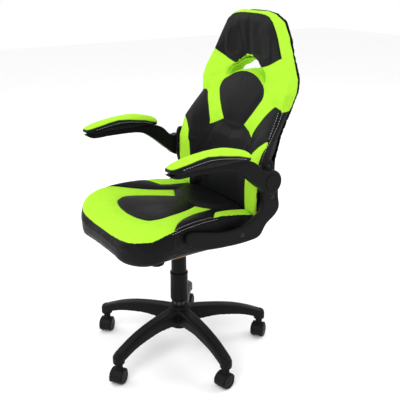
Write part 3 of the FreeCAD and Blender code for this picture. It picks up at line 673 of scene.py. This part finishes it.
backSettings = {
    "voxel": 0.005, "shrink": 0.0022, "cap": 0.009, "pressure": 4.0, "tension": 14.0, "bending": 4.0,
    "seamHold": 0.004, "proud": 0.005, "sunk": 0.0022, "groove": 0.0026, "grooveWidth": 0.0038,
    "pillow": 0.0024, "swell": 0.035, "lipReach": 0.012, "sideSplit": 0.866,
    # the sewn ridge between the front and the sides, from the foot up to the middle of the top
    "ridge": [(0.240, 0.149, 0.500), (0.240, 0.149, 0.640), (0.240, 0.149, 0.700), (0.248, 0.161, 0.750),
              (0.251, 0.183, 0.784), (0.243, 0.210, 0.819), (0.231, 0.237, 0.856), (0.226, 0.249, 0.872),
              (0.233, 0.252, 0.894), (0.240, 0.259, 0.923), (0.236, 0.266, 0.952), (0.217, 0.275, 0.989),
              (0.186, 0.277, 1.027), (0.165, 0.282, 1.065), (0.142, 0.287, 1.104), (0.114, 0.287, 1.143),
              (0.080, 0.290, 1.157), (0.030, 0.291, 1.161), (0, 0.291, 1.161)],
    # panels seen from the front, as half width and height
    "head": [(-0.01, 0.95), (0.0, 1.005), (0.067, 0.984), (0.110, 0.996), (0.186, 1.027),
             (0.30, 1.075), (0.30, 1.30), (-0.01, 1.30)],
    "spade": [(0, 0.966), (0.045, 0.961), (0.080, 0.948), (0.106, 0.931), (0.119, 0.917), (0.124, 0.896),
              (0.114, 0.875), (0.091, 0.840), (0.059, 0.799), (0.035, 0.780), (0, 0.772)],
    "wing": [(0.061, 0.798), (0.090, 0.784), (0.123, 0.770), (0.126, 0.783), (0.145, 0.815),
             (0.168, 0.848), (0.193, 0.877), (0.212, 0.877), (0.226, 0.872)],
    "lens": [(0.251, 0.788), (0.236, 0.781), (0.213, 0.763), (0.192, 0.741), (0.173, 0.699), (0.168, 0.652),
             (0.170, 0.560), (0.180, 0.45), (0.45, 0.45), (0.45, 0.788)],
    "hole": [(0, 0.965), (0.060, 0.958), (0.104, 0.934), (0.098, 0.958), (0.067, 0.984), (0.035, 1.004),
             (0, 1.012)],
}


def backRidge(spots, look):
    ridge = curved(look["ridge"], 3)
    half = spots.copy()
    half[:, 0] = np.maximum(np.abs(half[:, 0]), 0.001)
    toward = np.zeros_like(half)
    middle = np.column_stack((np.zeros(len(half)), np.minimum(half[:, 2], 1.02)))
    inward = middle - half[:, [0, 2]]
    inward /= np.maximum(np.linalg.norm(inward, axis=1), 1e-6)[:, None]
    toward[:, 0] = inward[:, 0] * 0.6
    toward[:, 2] = inward[:, 1] * 0.6
    toward[:, 1] = -0.8
    return seamDistance(half, ridge, toward)


def backPanels(spots, facing, look):  # facing holds each point's normal
    half = np.column_stack((np.abs(spots[:, 0]), spots[:, 2]))
    front = backRidge(spots, look)
    aroundHole = outlineDistance(spots[:, [0, 2]], mirroredOutline(look["hole"]))
    inHole = (aroundHole > -look["lipReach"]) & (facing[:, 1] > -0.9)
    wall = (facing[:, 1] + 0.62) * look["lipReach"]  # the lip turns green where it turns inwards
    head = outlineDistance(half, look["head"])
    spade = outlineDistance(half, mirroredOutline(curved(look["spade"], 3)))
    wing = [tuple(p) for p in curved(look["wing"], 3)]
    upper = [(-0.30, 1.30), (-0.30, 0.80), (0.0, 0.80)] + wing + [(0.45, 0.872), (0.45, 1.30)]
    upperGreen = outlineDistance(half, upper)
    lens = outlineDistance(half, look["lens"])
    onFront = np.maximum(np.minimum(np.minimum(upperGreen, -head), -spade), lens)
    onSide = half[:, 1] - look["sideSplit"]
    green = np.where(front > 0, onFront, onSide)
    nearRidge = np.abs(front)
    differs = (onFront > 0) != (onSide > 0)
    green = np.where(differs, np.sign(green) * np.minimum(np.abs(green), nearRidge), green)
    green = np.where(inHole, np.maximum(green, wall), green)
    lines = np.abs([head, spade, upperGreen, lens]).min(axis=0)
    lines = np.where(facing[:, 1] < -0.1, lines, noSeam)
    gap = np.minimum(nearRidge, np.where(front > -0.003, lines, np.abs(onSide)))
    gap = np.where(inHole, np.abs(wall) + 0.0006, gap)
    return green, np.where(facing[:, 1] > 0.7, noGap, gap)


def backCover(look):
    back = mergedCopy("back_cushion", "backCover")
    remeshed(back, look["voxel"])
    softened(back, 3)
    spots = places(back)
    setPlaces(back, spots - directions(back) * look["shrink"])
    facing = directions(back)
    inflated(back, lambda at: backPanels(at, facing, look)[1], look)
    softened(back, 5)
    subdivided(back)
    spots = places(back)
    facing = directions(back)
    green, gap = backPanels(spots, facing, look)
    lift = panelLift(gap, look)
    setPlaces(back, spots + facing * lift[:, None])
    besideBracket = (np.abs(spots[:, 0]) > 0.222) & (spots[:, 2] < 0.76) & (spots[:, 1] > 0.16)
    proud = np.where(besideBracket, beside, look["proud"])
    clampedToSkin(back, skinOf("back_cushion"), proud, look["sunk"])
    spots = places(back)
    facing = directions(back)
    green, gap = backPanels(spots, facing, look)
    attribute(back, "greenSide", green)
    attribute(back, "seamGap", gap)
    pastRidge = np.maximum(0.0, -backRidge(spots, look))
    wrap = np.sign(spots[:, 0]) * pastRidge * np.where(np.abs(facing[:, 0]) > 0.6, 1.0, 0.0)
    attribute(back, "cloth", np.column_stack((spots[:, 0] + wrap, spots[:, 2], np.zeros(len(spots)))))
    back.data.materials.clear()
    back.data.materials.append(finishes["cover"])
    smoothShaded(back)
    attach(back, "seat")
    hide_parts("back_cushion")
    print("back cover:", len(back.data.polygons), "faces")
    return back


rearSettings = {
    "voxel": 0.0038, "groove": 0.0022, "grooveWidth": 0.0035, "pillow": 0.0030, "swell": 0.04,
    "proud": 0.004, "sunk": 0.005, "ripple": 0.0007, "yoke": 1.045,
    "panel": [(0, 0.560), (0.085, 0.560), (0.098, 0.640), (0.112, 0.720), (0.128, 0.800), (0.140, 0.870),
              (0.146, 0.905), (0.135, 0.920), (0.070, 0.916), (0, 0.914)],
}


def rearPanels(spots, look):
    flat = np.column_stack((spots[:, 0], spots[:, 2]))
    panel = outlineDistance(flat, mirroredOutline(look["panel"]))
    yoke = np.abs(spots[:, 2] - look["yoke"] + 0.4 * spots[:, 0] ** 2)
    return np.minimum(np.abs(panel), yoke)


def rearCover(look):
    rear = mergedCopy("back_rear_cover", "rearCover")
    remeshed(rear, look["voxel"])
    softened(rear, 3)
    spots = places(rear)
    facing = directions(rear)
    gap = rearPanels(spots, look)
    outward = smoothStep(0.3, 0.7, facing[:, 1])
    lift = panelLift(gap, look)
    lift += look["ripple"] * np.sin(spots[:, 2] * 60 + spots[:, 0] * 33) * np.sin(spots[:, 0] * 70)
    setPlaces(rear, spots + facing * (lift * outward)[:, None])
    clampedToSkin(rear, skinOf("back_rear_cover"), np.full(len(spots), look["proud"]), look["sunk"])
    attribute(rear, "seamGap", np.where(facing[:, 1] > 0.2, gap, noGap))
    rear.data.materials.clear()
    rear.data.materials.append(finishes["rear"])
    smoothShaded(rear)
    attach(rear, "seat")
    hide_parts("back_rear_cover")
    print("rear cover:", len(rear.data.polygons), "faces")


padSettings = {
    "voxel": 0.0032, "shrink": 0.0018, "cap": 0.005, "pressure": 4.0, "tension": 16.0, "bending": 4.0,
    "seamHold": 0.003, "proud": 0.002, "sunk": 0.005, "groove": 0.0016, "grooveWidth": 0.0026,
    "pillow": 0.0008, "swell": 0.02, "bottomProud": 0.0003,
    # height of the sewn edge of the green top along the arm
    "edge": [(-0.230, 0.762), (-0.216, 0.767), (-0.200, 0.770), (-0.168, 0.778), (-0.119, 0.788),
             (-0.082, 0.793), (-0.044, 0.791), (0.019, 0.781), (0.056, 0.770), (0.100, 0.757)],
}


def padPanels(spots, look):
    edge = np.array(look["edge"])
    height = np.interp(spots[:, 1], edge[:, 0], edge[:, 1])
    green = (spots[:, 2] - height) * 0.95
    return green, np.abs(green)


def padCover(side, look):
    node = side + "_arm_pad"
    pad = mergedCopy(node, side + "PadCover")
    remeshed(pad, look["voxel"])
    softened(pad, 2)
    setPlaces(pad, places(pad) - directions(pad) * look["shrink"])
    inflated(pad, lambda at: padPanels(at, look)[1], look)
    subdivided(pad)
    spots = places(pad)
    green, gap = padPanels(spots, look)
    lift = panelLift(gap, look)
    setPlaces(pad, spots + directions(pad) * lift[:, None])
    spots = places(pad)
    proud = np.where(directions(pad)[:, 2] < -0.5, look["bottomProud"], look["proud"])
    clampedToSkin(pad, skinOf(node), proud, look["sunk"])
    spots = places(pad)
    green, gap = padPanels(spots, look)
    attribute(pad, "greenSide", green)
    attribute(pad, "seamGap", gap)
    attribute(pad, "cloth", np.column_stack((spots[:, 0], spots[:, 1], np.zeros(len(spots)))))
    pad.data.materials.clear()
    pad.data.materials.append(finishes["cover"])
    smoothShaded(pad)
    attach(pad, side + "_armrest")
    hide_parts(node)
    print(pad.name, len(pad.data.polygons), "faces")
    return pad


linerSettings = {
    "outline": [(0, 0.970), (0.055, 0.961), (0.106, 0.934), (0.096, 0.967), (0.067, 0.981),
                (0.036, 1.001), (0, 1.008)],
    "front": 0.278, "foot": 0.934, "lean": 0.36, "depth": 0.052, "steps": 12, "wall": 0.0026,
    "insidePanel": 0.02,
}


def openingLiner(look):  # mesh sleeve that lines the opening through the back
    half = [tuple(p) for p in curved(look["outline"], 5)]
    loop = half + [(-x, z) for x, z in reversed(half[1:-1])]
    bm = bmesh.new()
    ring = [bm.verts.new((x, look["front"] + look["lean"] * (z - look["foot"]), z)) for x, z in loop]
    for a, b in zip(ring, ring[1:] + ring[:1]):
        bm.edges.new((a, b))
    edges = bm.edges[:]
    for turn in range(look["steps"]):
        grown = bmesh.ops.extrude_edge_only(bm, edges=edges)["geom"]
        edges = [part for part in grown if isinstance(part, bmesh.types.BMEdge)]
        corners = [part for part in grown if isinstance(part, bmesh.types.BMVert)]
        bmesh.ops.translate(bm, verts=corners, vec=(0, look["depth"] / look["steps"], 0))
    bmesh.ops.recalc_face_normals(bm, faces=bm.faces)
    liner = fromBmesh("openingLiner", bm)
    wall = liner.modifiers.new("wall", "SOLIDIFY")
    wall.thickness = look["wall"]
    wall.offset = 0.0
    settle(liner)
    spots = places(liner)
    attribute(liner, "greenSide", np.full(len(spots), look["insidePanel"]))
    attribute(liner, "seamGap", np.full(len(spots), look["insidePanel"]))
    around = spots[:, 2] + spots[:, 0]
    attribute(liner, "cloth", np.column_stack((spots[:, 1], around, np.zeros(len(spots)))))
    liner.data.materials.append(finishes["cover"])
    smoothShaded(liner)
    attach(liner, "seat")
    print("opening liner:", len(liner.data.polygons), "faces")


dustSettings = {"sag": 0.0016, "ripple": 0.0005, "cuts": 5, "edge": 0.022}


def dustCloth(look):  # thin cloth stapled under the seat
    low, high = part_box("seat_dust_cover")
    cloth = mergedCopy("seat_dust_cover", "seatDustCloth")
    bm = bmesh.new()
    bm.from_mesh(cloth.data)
    bmesh.ops.dissolve_limit(bm, angle_limit=math.radians(1.0), verts=bm.verts, edges=bm.edges)
    bmesh.ops.triangulate(bm, faces=bm.faces)
    for turn in range(look["cuts"]):
        long = [edge for edge in bm.edges if edge.calc_length() > look["edge"]]
        if long:
            bmesh.ops.subdivide_edges(bm, edges=long, cuts=1)
            bmesh.ops.triangulate(bm, faces=[face for face in bm.faces if len(face.verts) > 3])
    middle = (low + high) / 2
    for vert in bm.verts:
        across = abs(vert.co.x - middle.x) / (high.x - low.x) * 2
        along = abs(vert.co.y - middle.y) / (high.y - low.y) * 2
        bay = max(0.0, 1 - across ** 4) * max(0.0, 1 - along ** 4)
        vert.co.z -= look["sag"] * bay * (0.5 + 0.5 * math.sin(vert.co.x * 30) ** 2)
        vert.co.z -= look["ripple"] * bay * math.sin(vert.co.x * 90 + vert.co.y * 55)
    bm.to_mesh(cloth.data)
    bm.free()
    cloth.data.materials.clear()
    cloth.data.materials.append(finishes["dust_cloth"])
    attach(cloth, "seat")
    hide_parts("seat_dust_cover")


dustCloth(dustSettings)
seat = seatCover(seatSettings)
back = backCover(backSettings)
openingLiner(linerSettings)
rearCover(rearSettings)
pads = {side: padCover(side, padSettings) for side in ("left", "right")}


threadSettings = {"length": 0.0062, "pitch": 0.0088, "radius": 0.00062, "lift": 0.0004, "reach": 0.03}


def skin(piece):
    bm = bmesh.new()
    bm.from_mesh(piece.data)
    tree = BVHTree.FromBMesh(bm)
    bm.free()
    return tree


def evenly(line, pitch):  # points every pitch along a line, with the direction there
    line = [Vector(p) for p in line]
    out = []
    carry = 0.0
    for a, b in zip(line, line[1:]):
        span = (b - a).length
        if span < 1e-9:
            continue
        while carry < span:
            out.append((a.lerp(b, carry / span), (b - a) / span))
            carry += pitch
        carry -= span
    return out


def stitchRow(bm, tree, line, look, offset=Vector((0, 0, 0))):
    for spot, along in evenly(line, look["pitch"]):
        near, normal, face, far = tree.find_nearest(spot + offset)
        if near is None or far > look["reach"]:
            continue
        along = (along - normal * along.dot(normal)).normalized()
        across = normal.cross(along)
        turn = Matrix((along, across, normal)).transposed().to_4x4()
        turn.translation = near + normal * look["lift"]
        size = Matrix.Diagonal((look["length"] / 2, look["radius"], look["radius"] * 0.8, 1))
        bmesh.ops.create_icosphere(bm, subdivisions=1, radius=1.0, matrix=turn @ size)


def stitched(name, rides, rows):
    bm = bmesh.new()
    for tree, line, offset in rows:
        stitchRow(bm, tree, line, threadSettings, offset)
    piece = fromBmesh(name, bm)
    piece.data.materials.append(finishes["thread"])
    smoothShaded(piece)
    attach(piece, rides)
    print(name, len(piece.data.polygons), "faces")


def mirroredLine(line):
    return [(-p[0], p[1], p[2]) for p in line]


seatSkin = skin(seat)
seatEdge = [p for p in curved(seatSettings["edge"], 6) if -0.170 < p[1] < 0.012 and p[0] > 0.15]
seatRows = []
for line in (seatEdge, mirroredLine(seatEdge)):
    sign = 1 if line[0][0] > 0 else -1
    seatRows.append((seatSkin, line, Vector((-0.006 * sign, 0, 0.005))))
    seatRows.append((seatSkin, line, Vector((0.003 * sign, 0, -0.0075))))
stitched("seatStitching", "seat", seatRows)

backSkin = skin(back)
ridge = [p for p in curved(backSettings["ridge"], 6) if 0.60 < p[2] < 0.865]
backRows = []
for line in (ridge, mirroredLine(ridge)):
    sign = 1 if line[0][0] > 0 else -1
    backRows.append((backSkin, [p for p in line if p[2] > 0.79], Vector((-0.0065 * sign, -0.003, 0))))
    backRows.append((backSkin, line, Vector((0.002 * sign, 0.0085, 0))))
stitched("backStitching", "seat", backRows)

for side, pad in pads.items():
    padSkin = skin(pad)
    low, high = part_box(side + "_arm_pad")
    rows = []
    for x in (low.x, high.x):
        line = [(x, y, z - 0.0065) for y, z in padSettings["edge"]
                if low.y + 0.012 < y < high.y - 0.012]
        rows.append((padSkin, line, Vector((0, 0, 0))))
    stitched(side + "PadStitching", side + "_armrest", rows)


# moulded parts with softened edges
mouldedParts = {
    "star_base": {"voxel": 0.0021, "rounds": 2, "name": "starBase"},
    "left_bracket": {"voxel": 0.0019, "rounds": 3, "name": "leftBracket"},
    "right_bracket": {"voxel": 0.0019, "rounds": 3, "name": "rightBracket"},
    "left_arm": {"voxel": 0.0016, "rounds": 3, "name": "leftArm"},
    "right_arm": {"voxel": 0.0016, "rounds": 3, "name": "rightArm"},
}
for number in range(1, 6):
    mouldedParts["caster_%d_hood" % number] = {"voxel": 0.0010, "rounds": 2, "name": "casterHood%d" % number}


def mouldedPart(node, look):
    body = nodes[node]["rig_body"]
    part = mergedCopy(node, look["name"])
    remeshed(part, look["voxel"])
    softened(part, look["rounds"])
    part.data.materials.clear()
    part.data.materials.append(finishes[slotOfNode[node]])
    smoothShaded(part)
    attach(part, body)
    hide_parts(node)
    print(part.name, len(part.data.polygons), "faces")


for node, look in mouldedParts.items():
    mouldedPart(node, look)


stageSettings = {
    "floor": 9.0, "floorColour": (0.95, 0.95, 0.95), "worldLight": 1.0,
    "cameraAt": (1.849, -1.104, 1.317), "cameraTowards": (-0.792, 0.511, -0.333), "roll": 0.22, "lens": 60.84,
    "lights": [
        {"name": "keyLight", "at": (1.6, -2.4, 3.2), "size": 2.2, "power": 66.0},
        {"name": "fillLight", "at": (-2.6, -1.6, 2.4), "size": 2.6, "power": 34.0},
        {"name": "rimLight", "at": (0.8, 2.8, 2.8), "size": 2.4, "power": 44.0},
    ],
}


def floorPlane(look):
    bm = bmesh.new()
    bmesh.ops.create_grid(bm, x_segments=1, y_segments=1, size=look["floor"])
    floor = fromBmesh("studioFloor", bm)
    material, tree, shader = blank("paleFloor")
    coords = tree.nodes.new("ShaderNodeTexCoord")
    cloud = tree.nodes.new("ShaderNodeTexNoise")
    cloud.inputs["Scale"].default_value = 3.0
    tree.links.new(coords.outputs["Object"], cloud.inputs["Vector"])
    pale = look["floorColour"]
    dull = tuple(c * 0.985 for c in pale)
    tree.links.new(colourMix(tree, cloud.outputs[0], pale, dull), shader.inputs["Base Color"])
    shader.inputs["Roughness"].default_value = 0.7
    floor.data.materials.append(material)


def studio(look):
    world = bpy.data.worlds.new("studioWorld")
    world.use_nodes = True
    backdrop = world.node_tree.nodes["Background"]
    backdrop.inputs["Color"].default_value = (1.0, 1.0, 1.0, 1.0)
    backdrop.inputs["Strength"].default_value = look["worldLight"]
    scene.world = world
    for lamp in look["lights"]:
        data = bpy.data.lights.new(lamp["name"], "AREA")
        data.shape = "DISK"
        data.size = lamp["size"]
        data.energy = lamp["power"]
        light = newPiece(lamp["name"], data)
        light.location = lamp["at"]
        aim = Vector((0, 0, 0.6)) - Vector(lamp["at"])
        light.rotation_euler = aim.to_track_quat("-Z", "Y").to_euler()


def threeQuarterCamera(look):
    data = bpy.data.cameras.new("studioCamera")
    data.lens = look["lens"]
    data.sensor_width = 36.0
    camera = newPiece("studioCamera", data)
    forward = Vector(look["cameraTowards"]).normalized()
    right = forward.cross(Vector((0, 0, 1))).normalized()
    up = right.cross(forward)
    turn = Matrix((right, up, -forward)).transposed()
    roll = Matrix.Rotation(math.radians(look["roll"]), 3, forward)
    camera.matrix_world = Matrix.Translation(look["cameraAt"]) @ (roll @ turn).to_4x4()
    scene.camera = camera


floorPlane(stageSettings)
studio(stageSettings)
threeQuarterCamera(stageSettings)
scene.view_settings.view_transform = "Standard"
